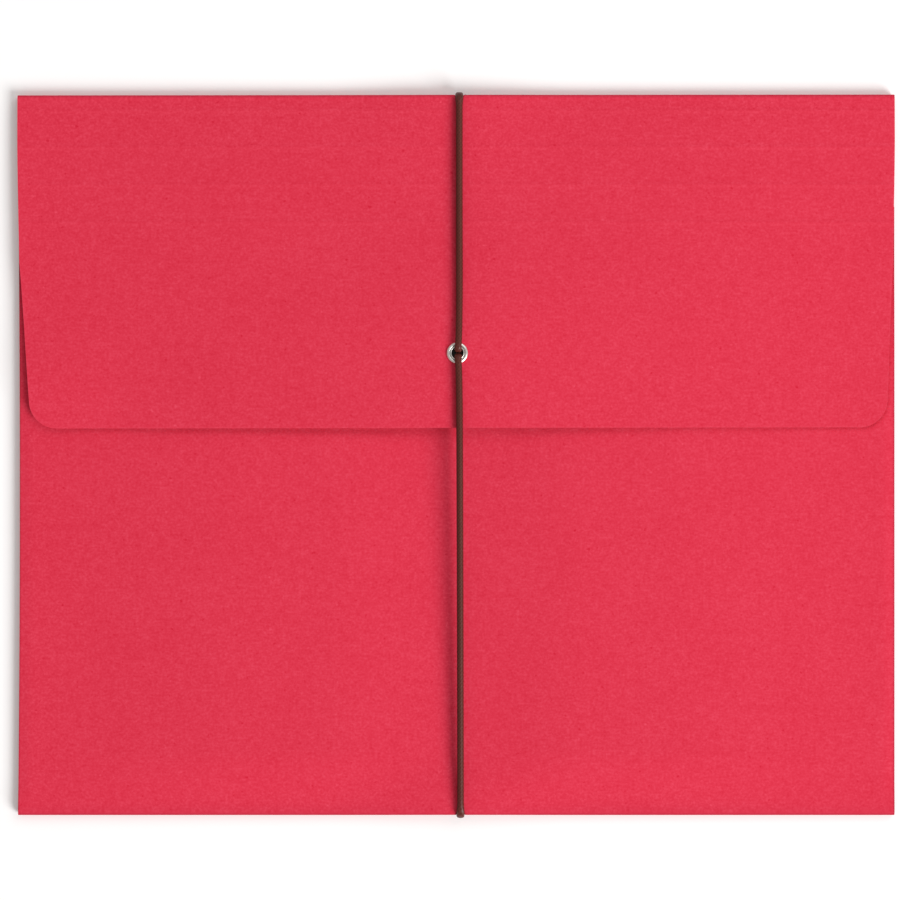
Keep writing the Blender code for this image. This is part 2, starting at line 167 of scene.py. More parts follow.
# ------------------------------------------------------------------ nodes
class Nodes:
    """Short calls for one material's node tree."""

    def __init__(self, name):
        self.material = bpy.data.materials.new(name)
        self.material.use_nodes = True
        self.tree = self.material.node_tree
        self.shader = self.tree.nodes["Principled BSDF"]

    def add(self, kind, **values):
        node = self.tree.nodes.new("ShaderNode" + kind)
        for key, value in values.items():
            setattr(node, key, value)
        return node

    def link(self, a, b):
        self.tree.links.new(a, b)

    def math(self, operation, a, b, clamp=False):
        node = self.add("Math", operation=operation, use_clamp=clamp)
        for k, value in enumerate((a, b)):
            if isinstance(value, (int, float)):
                node.inputs[k].default_value = value
            else:
                self.link(value, node.inputs[k])
        return node.outputs[0]

    def noise(self, vector, scale, detail, rough=0.55, lift=0.0):
        node = self.add("TexNoise", noise_dimensions="3D")
        node.inputs["Scale"].default_value = scale
        node.inputs["Detail"].default_value = detail
        node.inputs["Roughness"].default_value = rough
        if lift:
            shift = self.add("Vector" + "Math", operation="ADD")
            shift.inputs[1].default_value = (lift, lift * 0.7, lift * 1.3)
            self.link(vector, shift.inputs[0])
            vector = shift.outputs[0]
        self.link(vector, node.inputs["Vector"])
        return node.outputs[0]

    def spread(self, value, low, high, to_low=0.0, to_high=1.0):
        node = self.add("MapRange", clamp=True)
        self.link(value, node.inputs["Value"])
        for key, number in zip(("From Min", "From Max", "To Min", "To Max"), (low, high, to_low, to_high)):
            node.inputs[key].default_value = number
        return node.outputs[0]

    def ramp(self, value, stops):
        node = self.add("ValToRGB")
        ramp = node.color_ramp
        while len(ramp.elements) < len(stops):
            ramp.elements.new(0.5)
        for element, (place, color) in zip(ramp.elements, stops):
            element.position = place
            element.color = (*color, 1)
        self.link(value, node.inputs[0])
        return node.outputs[0]

    def mix(self, factor, a, b):
        node = self.add("Mix", data_type="RGBA")
        for key, value in (("Factor", factor), ("A", a), ("B", b)):
            socket = next(s for s in node.inputs if s.name == key and s.type == ("VALUE" if key == "Factor" else "RGBA"))
            if isinstance(value, tuple):
                socket.default_value = (*value, 1)
            elif isinstance(value, float):
                socket.default_value = value
            else:
                self.link(value, socket)
        return next(s for s in node.outputs if s.type == "RGBA")

    def bumped(self, height, strength, distance, below=None):
        node = self.add("Bump")
        node.inputs["Strength"].default_value = strength
        node.inputs["Distance"].default_value = distance
        self.link(height, node.inputs["Height"])
        if below is not None:
            self.link(below, node.inputs["Normal"])
        return node.outputs[0]


def paper(name, dark, base, light, worn, painted_shade_color):
    """Dyed fibre paper: fine grain, faint clouds, stray fibres and specks, paler where it is creased or trimmed; a
    per-point mask paints shade, a darker red, along edges and fold crests.
    """
    n = Nodes(name)
    at = n.add("UVMap", uv_map="sheet").outputs[0]  # 1 unit is 100 mm of sheet
    grain = n.noise(at, 112.0, 2.0, 0.6)
    mottle = n.noise(at, 34.0, 3.0, 0.55, 3.1)
    cloud = n.noise(at, 5.0, 2.0, 0.5, 7.7)
    stretch = n.add("Mapping")
    stretch.inputs["Scale"].default_value = (46.0, 150.0, 1.0)
    stretch.inputs["Rotation"].default_value = (0, 0, 0.5)
    n.link(at, stretch.inputs["Vector"])
    fibre = n.noise(stretch.outputs[0], 1.0, 2.0, 0.5)
    tone = n.math("ADD", 0.5, n.math("MULTIPLY", n.math("SUBTRACT", grain, 0.5), 0.88))
    tone = n.math("ADD", tone, n.math("MULTIPLY", n.math("SUBTRACT", mottle, 0.5), 0.44))
    tone = n.math("ADD", tone, n.math("MULTIPLY", n.math("SUBTRACT", cloud, 0.5), 0.16))
    tone = n.math("ADD", tone, n.math("MULTIPLY", n.math("SUBTRACT", fibre, 0.5), 0.3))
    speck = n.noise(at, 62.0, 1.0, 0.4, 13.3)
    tone = n.math("SUBTRACT", tone, n.spread(speck, 0.70, 0.78, 0.0, 0.3))
    tone = n.math("ADD", tone, n.spread(speck, 0.27, 0.21, 0.0, 0.24), True)
    color = n.ramp(tone, ((0.0, dark), (0.5, base), (1.0, light)))
    wear = n.add("Attribute", attribute_name="wear").outputs["Fac"]
    rubbed = n.math("MULTIPLY", wear, n.spread(n.noise(at, 70.0, 3.0, 0.6, 21.0), 0.3, 0.7, 0.35, 1.0))
    color = n.mix(n.math("MULTIPLY", rubbed, 0.55, True), color, worn)
    # painted shade: the edge mask darkens the red along sheet edges and fold crests
    painted_edge_shade = n.add("Attribute", attribute_name="painted_edge_shade").outputs["Fac"]
    color = n.mix(n.math("MULTIPLY", painted_edge_shade, 0.75, True), color, painted_shade_color)
    n.link(color, n.shader.inputs["Base Color"])
    rough = n.math("ADD", n.spread(grain, 0.3, 0.7, 0.80, 0.92), n.math("MULTIPLY", wear, -0.06))
    n.link(rough, n.shader.inputs["Roughness"])
    n.shader.inputs["Specular IOR Level"].default_value = 0.08
    tooth = n.math("ADD", n.noise(at, 210.0, 3.0, 0.6, 5.0), n.math("MULTIPLY", fibre, 0.7))
    normal = n.bumped(tooth, 0.22, 0.00006)
    normal = n.bumped(mottle, 0.20, 0.00010, normal)
    n.link(normal, n.shader.inputs["Normal"])
    return n.material


RED = paper("red_paper_grain", (0.596, 0.0112, 0.0350), (0.700, 0.0364, 0.0742), (0.808, 0.0755, 0.130), (0.80, 0.120, 0.170), (0.40, 0.018, 0.042))
# painted shade: the gussets use the same paper made darker all over, a shaded copy for the parts inside the pocket
GUSSET_RED_SHADED = paper("gusset_paper_shaded", (0.430, 0.0085, 0.029), (0.560, 0.0240, 0.0530), (0.690, 0.050, 0.088), (0.72, 0.12, 0.16), (0.38, 0.018, 0.04))


def nickel(name):
    """Plated brass: bright, with faint turned rings and small scuffs; a per-point mask paints shade, near black and
    rougher, into the recesses and onto the clip.
    """
    n = Nodes(name)
    at = n.add("TexCoord").outputs["Object"]
    wipe = n.noise(at, 900.0, 4.0, 0.6)
    pits = n.noise(at, 2600.0, 2.0, 0.5, 0.3)
    color = n.ramp(wipe, ((0.2, (0.66, 0.64, 0.59)), (0.5, (0.84, 0.82, 0.77)), (1.0, (0.92, 0.90, 0.86))))
    # painted shade: where the mask is high the metal turns near black and rougher
    painted_shade_rough = n.add("Attribute", attribute_name="painted_shade_rough").outputs["Fac"]
    color = n.mix(n.math("MULTIPLY", painted_shade_rough, 0.96, True), color, (0.030, 0.026, 0.022))
    n.link(color, n.shader.inputs["Base Color"])
    n.shader.inputs["Metallic"].default_value = 1.0
    n.link(n.math("ADD", n.spread(wipe, 0.25, 0.75, 0.28, 0.44), n.math("MULTIPLY", painted_shade_rough, 0.3), True), n.shader.inputs["Roughness"])
    n.link(n.bumped(pits, 0.12, 0.00003), n.shader.inputs["Normal"])
    return n.material


NICKEL = nickel("nickel_plate")


def elastic(name):
    """Braided elastic: brown yarns over a rubber core, with a little fuzz; the yarn crests get a painted highlight and
    the dips between them painted shade.
    """
    n = Nodes(name)
    at = n.add("UVMap", uv_map="sheet").outputs[0]
    # painted light and shade: the yarn relief sets the tone, paler on the crests and darker in the dips
    yarn = n.add("Attribute", attribute_name="braid_painted_light").outputs["Fac"]
    fuzz = n.noise(at, 260.0, 3.0, 0.6)
    patch = n.noise(at, 22.0, 2.0, 0.5, 4.0)
    tone = n.math("ADD", n.math("MULTIPLY", yarn, 0.40), n.math("MULTIPLY", fuzz, 0.42))
    tone = n.math("ADD", tone, n.math("MULTIPLY", patch, 0.16), True)
    color = n.ramp(tone, ((0.1, (0.036, 0.0060, 0.0038)), (0.55, (0.088, 0.0165, 0.0105)), (1.0, (0.160, 0.042, 0.029))))
    n.link(color, n.shader.inputs["Base Color"])
    n.link(n.spread(fuzz, 0.3, 0.7, 0.34, 0.44), n.shader.inputs["Roughness"])
    n.shader.inputs["Specular IOR Level"].default_value = 0.27
    n.link(n.bumped(fuzz, 0.25, 0.00005), n.shader.inputs["Normal"])
    return n.material


BROWN = elastic("brown_braided_elastic")


# ------------------------------------------------------------------ mesh helpers
def mesh_piece(name, points, faces, mat, uv=None, uv_faces=None, floats=None, sharp=40.0):
    """A mesh object from points in millimetres, with a sheet UV per point and named point values."""
    mesh = bpy.data.meshes.new(name)
    mesh.from_pydata((np.asarray(points) * MM).tolist(), [], faces)
    if uv is not None:
        layer = mesh.uv_layers.new(name="sheet")
        loops = np.zeros(len(mesh.loops), np.int32)
        mesh.loops.foreach_get("vertex_index", loops)
        layer.uv.foreach_set("vector", (np.asarray(uv)[loops] / 100.0).astype(np.float32).ravel())
    for key, values in (floats or {}).items():
        attribute = mesh.attributes.new(key, "FLOAT", "POINT")
        attribute.data.foreach_set("value", np.asarray(values, np.float32).ravel())
    mesh.materials.append(mat)
    mesh.shade_smooth()
    if sharp:
        mesh.set_sharp_from_angle(angle=math.radians(sharp))
    mesh.validate()
    mesh.update()
    obj = bpy.data.objects.new(name, mesh)
    bpy.context.scene.collection.objects.link(obj)
    return obj


def thick_sheet(name, grid, uv, wear, painted_edge_shade, thickness, mat, skip=None):
    """A closed sheet round a grid of mid-plane points [column, row, xyz], with a wear mask and a painted edge shade
    mask per point; skip marks cells that are left out.
    """
    nu, nv = grid.shape[:2]
    du = np.gradient(grid, axis=0)
    dv = np.gradient(grid, axis=1)
    normal = np.cross(du, dv)
    normal /= np.maximum(np.linalg.norm(normal, axis=2, keepdims=True), 1e-12)
    points = np.concatenate([(grid + normal * thickness / 2).reshape(-1, 3), (grid - normal * thickness / 2).reshape(-1, 3)])
    low = nu * nv
    at = np.arange(nu * nv).reshape(nu, nv)
    keep = np.ones((nu - 1, nv - 1), bool) if skip is None else ~skip
    faces = []
    for i in range(nu - 1):
        for j in range(nv - 1):
            if not keep[i, j]:
                continue
            a, b, c, d = int(at[i, j]), int(at[i + 1, j]), int(at[i + 1, j + 1]), int(at[i, j + 1])
            faces.append((a, b, c, d))
            faces.append((d + low, c + low, b + low, a + low))
            for (p, q), (i2, j2) in (((a, b), (i, j - 1)), ((b, c), (i + 1, j)), ((c, d), (i, j + 1)), ((d, a), (i - 1, j))):
                if not (0 <= i2 < nu - 1 and 0 <= j2 < nv - 1) or not keep[i2, j2]:
                    faces.append((p, p + low, q + low, q))
    used = np.unique(np.array([k for f in faces for k in f]))
    order = -np.ones(2 * low, int)
    order[used] = np.arange(len(used))
    faces = [tuple(int(order[k]) for k in f) for f in faces]
    flat = np.concatenate([uv.reshape(-1, 2)] * 2)[used]
    # the second mask is painted shade along edges and fold crests
    floats = {key: np.concatenate([np.clip(v, 0, 1).ravel()] * 2)[used] for key, v in (("wear", wear), ("painted_edge_shade", painted_edge_shade))}
    return mesh_piece(name, points[used], faces, mat, flat, None, floats, 40.0)


def turned(name, profile, at, mat, painted_shade_rough=None, steps=96):
    """A ring turned about Z from a closed profile of (radius, height)."""
    profile = np.array(profile, float)
    n = len(profile)
    turn = 2 * np.pi * np.arange(steps) / steps
    points = np.stack(
        [
            at[0] + np.outer(np.cos(turn), profile[:, 0]),
            at[1] + np.outer(np.sin(turn), profile[:, 0]),
            np.broadcast_to(profile[:, 1], (steps, n)),
        ],
        axis=2,
    ).reshape(-1, 3)
    faces = []
    for i in range(steps):
        for j in range(n):
            a, b = i * n + j, i * n + (j + 1) % n
            c, d = ((i + 1) % steps) * n + (j + 1) % n, ((i + 1) % steps) * n + j
            faces.append((a, b, c, d))
    floats = {"painted_shade_rough": np.tile(painted_shade_rough(profile) if painted_shade_rough else 0.0 * profile[:, 0], steps)}
    return mesh_piece(name, points, faces, mat, None, None, floats, 50.0)


def rounded(profile, rounds=3):
    """Cuts the corners of a closed profile until it is smooth."""
    p = np.array(profile, float)
    for _ in range(rounds):
        q = np.roll(p, -1, axis=0)
        p = np.stack([0.75 * p + 0.25 * q, 0.25 * p + 0.75 * q], axis=1).reshape(-1, 2)
    return p


def lines(*parts):
    """Sorted positions with near doubles left out."""
    values = np.sort(np.concatenate([np.atleast_1d(np.asarray(p, float)) for p in parts]))
    return values[np.concatenate([[True], np.diff(values) > 0.04])]


# ------------------------------------------------------------------ camera, straight above, in the photograph's frame
camera = bpy.data.objects.new("camera", bpy.data.cameras.new("camera"))
camera.data.lens = 120.0
camera.data.sensor_width = 36.0
camera.data.clip_start, camera.data.clip_end = 0.01, 20.0
camera.location = (-2.06 * MM, 1.74 * MM, 1.0245)
bpy.context.scene.collection.objects.link(camera)
bpy.context.scene.camera = camera

# ------------------------------------------------------------------ columns shared by the wide sheets
edge_steps = np.array([0.0, 0.12, 0.3, 0.6, 1.0, 1.6, 2.4])
columns = lines(
    np.arange(-144, 144.1, 3.0),
    np.arange(-12, 12.1, 0.75),
    np.arange(-1.1, 3.6, 0.2),
    -HALF + edge_steps,
    HALF - edge_steps,
)
front_columns = lines(columns, np.arange(135.0, 148.9, 0.35), -np.arange(135.0, 148.9, 0.35))

# ------------------------------------------------------------------ back
x, t = np.meshgrid(columns, np.linspace(0, 1, 61), indexing="ij")
low = Y_BOTTOM_FOLD + dent(x, CORD_X_BOTTOM)
high = Y_TOP_FOLD - dent(x, CORD_X_TOP)
y = low + (high - low) * t
xb = bow(x, y)
grid = np.stack([xb, y, back_level(x)], axis=2)[:, ::-1]
uv = np.stack([x, y], axis=2)[:, ::-1]
# painted shade: darker along the back's side edges
painted_edge_shade = np.exp(-(((HALF - np.abs(x)) / 0.4) ** 2))[:, ::-1]
back = thick_sheet("back_sheet", grid, uv, 0 * painted_edge_shade, painted_edge_shade, SHEET, RED)
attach(back, "wallet_body")
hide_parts("back_panel")

# ------------------------------------------------------------------ bottom fold and front, one sheet
CREASE = 0.62  # below 1, the folds are pressed squarer than a half round
angles = np.radians(np.linspace(-90, 90, 33))
rows = lines(
    Y_BOTTOM_FOLD + np.array([0.5, 0.9, 1.2, 1.4, 1.6, 1.8, 2.0, 2.2, 2.4, 2.6, 2.8, 3.2, 3.8, 4.6, 5.6, 7.0]),
    np.arange(-112, -98, 1.5),
    np.arange(-98, -6, 3.0),
    np.arange(-6, 2, 1.0),
    np.arange(2, 19, 0.4),
    np.arange(19, FRONT_TOP - 3, 3.0),
    FRONT_TOP - edge_steps,
)
nx, na, nr = len(front_columns), len(angles), len(rows)
x = np.repeat(front_columns[:, None], na + nr, axis=1)
a = np.repeat(angles[None, :], nx, axis=0)
xa, xr = x[:, :na], x[:, na:]
yr = np.repeat(rows[None, :], nx, axis=0)
level_low, level_high = back_level(xa), front_level(xa, Y_BOTTOM_FOLD)
ya = Y_BOTTOM_FOLD + dent(xa, CORD_X_BOTTOM) - (R_BOTTOM + 0.15 - 0.25 * bump(xa, 0.0, TROUGH_HALF)) * np.abs(np.cos(a)) ** CREASE
za = (level_low + level_high) / 2 + (level_high - level_low) / 2 * np.sign(a) * np.abs(np.sin(a)) ** CREASE
fade = ease((Y_BOTTOM_FOLD + 7 - yr) / 7.0)
yf = yr + dent(xr, CORD_X_BOTTOM) * fade
zf = front_level(xr, yf) + ripple(xr, yf, 3, 0.07) * ease((yr - Y_BOTTOM_FOLD - 4) / 20)
# the flap presses a shallow hollow into the front along its edge, and the front's sides curl down a little
side_on = 1 - bump(xr, 1.0, 30.0)
by_side = ease((np.abs(xr) - 98.0) / 30.0)
off = off_flap(xr, yr)
deep = np.where(xr < 0, 0.40 - 0.32 * by_side, 0.22 - 0.06 * by_side)
zf -= deep * np.exp(-((off / (1.7 - 0.8 * by_side)) ** 2)) * side_on
zf -= np.where(xr < 0, 0.20 * (1 - by_side), 0.12 * (1 - 0.6 * by_side)) * np.exp(-((off / 3.4) ** 2)) * side_on
zf -= 0.10 * np.exp(-((off / 0.55) ** 2)) * ease((xr - 136.0) / 6.0) * ease((70 - yr) / 25.0)
zf -= 0.3 * np.exp(-(((HALF - np.abs(xr)) / 2.6) ** 2)) * ease((yr - Y_BOTTOM_FOLD - 1) / 9.0)
y, z = np.concatenate([ya, yf], 1), np.concatenate([za, zf], 1)
grid = np.stack([bow(x, y), y, z], axis=2)
run = np.concatenate([R_BOTTOM * (angles - np.pi / 2) + Y_BOTTOM_FOLD, rows])
uv = np.stack([x + 400, np.repeat(run[None, :], nx, axis=0)], axis=2)
# painted shade: darker along the side edges, the top edge and the bottom fold's crest
painted_edge_shade = np.exp(-(((HALF - np.abs(x)) / 0.4) ** 2)) + np.exp(-(((FRONT_TOP - y) / 0.4) ** 2))
painted_edge_shade += 0.9 * np.exp(-(((y - Y_BOTTOM_FOLD - dent(x, CORD_X_BOTTOM) + R_BOTTOM) / 0.55) ** 2))
painted_edge_shade += 0.16 * np.exp(-(((y - Y_BOTTOM_FOLD - dent(x, CORD_X_BOTTOM) + R_BOTTOM) / 2.6) ** 2))
front = thick_sheet("front_sheet", grid, uv, 0 * painted_edge_shade, painted_edge_shade, SHEET, RED)
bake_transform(front)
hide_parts("front_panel", "bottom_fold")

# ------------------------------------------------------------------ top fold and flap, one sheet with pressed score lines
ex, ey = EYELET
near = np.linspace(-HOLE, HOLE, 25)
around = np.array([3.1, 3.7, 4.5, 5.6, 7.0, 9.0])
flap_columns = lines(
    columns[np.abs(columns - ex) > 9.5],
    ex + near,
    ex + around,
    ex - around,
)
score_rows = []
for drop in SCORE_DROPS:
    score_rows.append(TOP - drop + np.array([-2.2, -1.5, -1.0, -0.7, -0.5, -0.32, -0.16, 0, 0.16, 0.32, 0.5, 0.7, 1.0, 1.5, 2.2]))
corner = FLAP_END + FLAP_CORNER * (1 - np.cos(np.pi / 2 * np.arange(19) / 18))
plain = np.arange(20.5, 119, 2.5)
plain = plain[np.abs(plain - ey) > 9.5]
for drop in SCORE_DROPS:
    plain = plain[np.abs(plain - TOP + drop) > 3.0]
rows = lines(
    corner,
    FLAP_END + np.array([0.35, 0.7]),
    plain,
    *score_rows,
    ey + near,
    ey + around,
    ey - around,
    np.arange(117.6, 119.9, 0.1),
    np.array([114.5, 115.5, 116.4, 117.0, 120.2, 120.6]),
)[::-1]
angles = np.radians(np.linspace(-90, 90, 33))
nx, na, nr = len(flap_columns), len(angles), len(rows)
c = np.repeat(flap_columns[:, None], na + nr, axis=1)
y0 = np.concatenate([np.full(na, Y_TOP_FOLD), rows])[None, :].repeat(nx, axis=0)

side = np.where(c < 0, flap_side(y0, INSET_LEFT), flap_side(y0, INSET_RIGHT))
INNER = 100.0
outer = np.abs(c) > INNER
x = np.where(outer, np.sign(c) * (INNER + (np.abs(c) - INNER) * (HALF - side - INNER) / (HALF - INNER)), c)

# the grid is drawn out into a circle round the eyelet's hole
px, py = x - ex, y0 - ey
square = np.maximum(np.abs(px), np.abs(py))
length = np.maximum(np.hypot(px, py), 1e-9)
pull = 1 + (square / length - 1) * ease((9.0 - square) / 5.5)
x = np.where(square < 9.0, ex + px * pull, x)
y0 = np.where(square < 9.0, ey + py * pull, y0)

fade = ease((y0 - Y_TOP_FOLD + 7) / 7.0)
y = y0 - dent(x, CORD_X_TOP) * fade + flap_tilt(x, y0)
z = flap_level(x, y0)
z += ripple(x, y0, 11, 0.09) * ease((FLAP_START - 8 - y0) / 24)
# its left side and lower left edge stand a little off the front
lift_side = ease((-x - 100) / 48) * ease((68 - y0) / 46)
lift_edge = 0.22 * ease((48 - y0) / 38) * ease((10 - x) / 60)
z += lift_side + lift_edge - lift_side * lift_edge + 1.0 * ease((-x - 112) / 36) * ease((50 - y0) / 32)
scored = 0.9 + 0.5 * ease((x - 50) / 60)  # the score lines show most towards the right
for drop in SCORE_DROPS:
    d = y0 - (TOP - drop)
    z += 0.05 * scored * np.exp(-(((d - 0.34) / 0.75) ** 2))
level_low, level_high = back_level(x[:, :na]), fold_level(x[:, :na])
bulge = R_TOP + 0.20 + 0.14 * x[:, :na] / HALF - 0.15 * bump(x[:, :na], 0.0, TROUGH_HALF)
y[:, :na] = Y_TOP_FOLD - dent(x[:, :na], CORD_X_TOP) + bulge * (np.abs(np.cos(angles)) ** CREASE)[None, :]
z[:, :na] = (level_low + level_high) / 2 + (level_high - level_low) / 2 * (np.sign(angles) * np.abs(np.sin(angles)) ** CREASE)[None, :]
grid = np.stack([x, y, z], axis=2)[::-1]
run = np.concatenate([Y_TOP_FOLD + R_TOP * (np.pi / 2 - angles), rows])
uv = np.stack([x + 800, np.where(square < 9.0, y0, np.repeat(run[None, :], nx, axis=0))], axis=2)[::-1]
# painted shade: a faint darker line along the top fold's crest
painted_edge_shade = 0 * x
painted_edge_shade[:, :na] += 0.12 * np.exp(-((R_TOP * (1 - np.abs(np.cos(angles)) ** CREASE) / 0.38) ** 2))[None, :]
wear = 0.3 * np.exp(-(((HALF - side - np.abs(x)) / 0.3) ** 2)) * ease((80 - y0) / 10) + 0.3 * np.exp(-(((y0 - FLAP_END) / 0.3) ** 2))
for drop in SCORE_DROPS:
    wear += 0.10 * scored * np.exp(-(((y0 - (TOP - drop) + 0.3) / 0.4) ** 2))
mid_c = (flap_columns[1:] + flap_columns[:-1]) / 2
row_y = np.concatenate([np.full(na, Y_TOP_FOLD), rows])
mid_r = (row_y[1:] + row_y[:-1]) / 2
skip = (np.abs(mid_c - ex)[:, None] < HOLE) & (np.abs(mid_r - ey)[None, :] < HOLE)
flap = thick_sheet("flap_sheet", grid, uv, wear[::-1], painted_edge_shade[::-1], SHEET, RED, skip[::-1])
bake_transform(flap)
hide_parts("flap", "top_fold")

# ------------------------------------------------------------------ gussets, one pleated sheet a side
gap = (STACK - 6 * LEAF) / 7
first = SHEET + gap + LEAF / 2
last = SHEET + STACK - gap - LEAF / 2
PLEAT, TURN = 0.06, 0.075  # sheet, and the rise of each fold
climb = (last - first - 5 * TURN) / 4
rows = np.linspace(Y_BOTTOM_FOLD + 1.5, FRONT_TOP - 0.5, 45)
inner, outer_x = HALF - LEAF_WIDTH, HALF - 2.6
path, crease, level = [], [], first
for k in range(6):
    ends = (inner, outer_x) if k % 2 == 0 else (outer_x, inner)
    rise = 0.0 if k in (0, 5) else climb
    for s in np.linspace(0, 1, 15):
        path.append((ends[0] + (ends[1] - ends[0]) * s, level + rise * s))
        crease.append(math.exp(-((min(s, 1 - s) * 21 / 0.7) ** 2)))
    level += rise
    if k < 5:
        way = 1 if k % 2 == 0 else -1
        for s in (0.25, 0.5, 0.75):
            path.append((ends[1] + way * TURN / 2 * math.sin(math.pi * s), level + TURN / 2 * (1 - math.cos(math.pi * s))))
            crease.append(1.0)
        level += TURN
path, crease = np.array(path), np.array(crease)
arc = np.concatenate([[0], np.cumsum(np.hypot(*np.diff(path, axis=0).T))])
for sign, word in ((-1, "left"), (1, "right")):
    grid = np.stack(
        [
            np.repeat(sign * path[:, :1], len(rows), axis=1),
            np.repeat(rows[None, :], len(path), axis=0),
            np.repeat(path[:, 1:], len(rows), axis=1),
        ],
        axis=2,
    )
    uv = np.stack([np.repeat(arc[:, None] + 1200 + 200 * sign, len(rows), axis=1), np.repeat(rows[None, :], len(path), axis=0)], axis=2)
    wear = np.repeat(0.7 * crease[:, None], len(rows), axis=1)
    if sign < 0:
        grid, uv, wear = grid[::-1], uv[::-1], wear[::-1]
    gusset = thick_sheet(f"{word}_gusset_sheet", grid, uv, wear, 0 * wear, PLEAT, GUSSET_RED_SHADED)
    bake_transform(gusset)
    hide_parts(*[f"{word}_gusset_{p}" for p in ("rear_tab", "leaf_1", "leaf_2", "leaf_3", "leaf_4", "front_tab")])

# ------------------------------------------------------------------ eyelet, washer and clip
eyelet_z = float(flap_level(np.array(ex), np.array(ey)))
seat = eyelet_z + SHEET / 2 + 0.12
profile = [
    (1.95, 8.95), (1.98, 9.20), (2.10, 9.32), (2.26, 9.33), (2.40, 9.24), (2.47, 9.02), (2.54, 9.02), (2.62, 9.20), (2.80, 9.32), (3.10, 9.34), (3.38, 9.22), (3.58, 9.02), (3.62, 8.82), (3.60, seat + 0.03), (3.45, seat),
    (2.42, seat), (2.38, seat - 0.05), (2.38, 7.28), (2.50, 7.22), (2.95, 7.24), (3.10, 7.08), (3.02, 6.86), (2.70, 6.74),
    (2.25, 6.76), (1.99, 6.95), (1.95, 7.30), (1.95, 8.2),
]


# painted shade: the mask is high inside the eyelet's bore and in the groove of its flange, where shade falls
def painted_bore_shade(p):
    bore = ease((2.2 - p[:, 0]) / 0.2) * ease((9.16 - p[:, 1]) / 0.2)
    groove = 0.75 * np.exp(-(((p[:, 0] - 2.5) / 0.1) ** 2)) * (p[:, 1] > 8.8)
    return np.maximum(bore, groove)


eyelet = turned("eyelet_ring", rounded(profile, 2), EYELET, NICKEL, painted_bore_shade)
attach(eyelet, "flap")
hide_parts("eyelet")
profile = [(4.0, 7.52), (4.0, 7.68), (3.9, 7.75), (2.75, 7.75), (2.66, 7.68), (2.66, 7.52), (2.75, 7.45), (3.9, 7.45)]
washer = turned("eyelet_backing_washer", rounded(profile, 2), EYELET, NICKEL)
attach(washer, "flap")
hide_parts("eyelet_washer")

# the clip is a strip pinched round the cord's ends, waisted where it is pressed
stations = np.linspace(-1, 1, 33)
turn = 2 * np.pi * np.arange(40) / 40
rings = []
for s in stations:
    end = (1 - abs(s) ** 6) ** 0.5 if abs(s) < 1 else 0.0
    wide = (2.5 - 0.35 * math.exp(-((s / 0.22) ** 2))) * (0.82 + 0.18 * end)
    thick = (0.42 - 0.13 * math.exp(-(((abs(s) - 0.45) / 0.13) ** 2))) * (0.5 + 0.5 * end)
    cs, sn = np.cos(turn), np.sin(turn)
    ring_x = wide * np.sign(cs) * np.abs(cs) ** 0.45
    ring_z = thick * np.sign(sn) * np.abs(sn) ** 0.6
    rings.append(np.stack([ex + ring_x, np.full(40, ey + 3.5 * s), 6.07 + ring_z], axis=1))
points = np.concatenate(rings)
faces = []
for i in range(len(stations) - 1):
    for j in range(40):
        k = (j + 1) % 40
        faces.append((i * 40 + j, (i + 1) * 40 + j, (i + 1) * 40 + k, i * 40 + k))
faces.append(tuple(range(40)))
faces.append(tuple(range((len(stations) - 1) * 40, len(stations) * 40))[::-1])
# the clip is made darker all over as blackened steel, and near black under the eyelet's hole as painted shade
dark = 0.55 + 0.4 * np.exp(-((np.hypot(points[:, 0] - ex, points[:, 1] - ey) / 2.4) ** 4))
clip = mesh_piece("cord_end_clip", points, faces, NICKEL, None, None, {"painted_shade_rough": dark}, 45.0)
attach(clip, "flap")
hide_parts("cord_crimp")

# ------------------------------------------------------------------ elastic cord, the frame's route with a braided cover
CLEAR = 0.3 + CORD_R + SHEET / 2
z_fold_run = float(fold_level(np.array(CORD_X_TOP))) + CLEAR
z_back_run = float(back_level(np.array(0.0))) - CLEAR
z_front_run = float(front_level(np.array(CORD_X_BOTTOM), np.array(Y_BOTTOM_FOLD))) + CLEAR


def over_flap(y, lift):
    return float(flap_level(np.array(ex), np.array(float(y)))) + CLEAR + lift


z_end, z_over, strand = 6.8, 10.5, 0.95


def lead_in(sign):
    bend = 1.35
    xh = ex + 0.25
    out = [(xh, ey + sign * strand, z_end, CORD_R_HOLE), (xh, ey + sign * strand, z_over - bend - 0.8, CORD_R_HOLE)]
    for k in range(4):
        a = math.pi / 2 * k / 3
        out.append((xh, ey + sign * (strand + bend * (1 - math.cos(a))), z_over - bend * (1 - math.sin(a)), CORD_R_HOLE))
    out.append((ex + 0.45, ey + sign * 5.2, z_over - 0.1, CORD_R_HOLE + 0.18))
    return out


def wrap(y_centre, radius, z_from, z_to, side, x):
    mid, high = (z_from + z_to) / 2, (z_from - z_to) / 2
    out = []
    for k in range(7):
        a = math.pi / 2 - math.pi * k / 6
        out.append((x, y_centre - side * DENT + side * (radius + CLEAR) * math.cos(a), mid + high * math.sin(a), CORD_R))
    return out


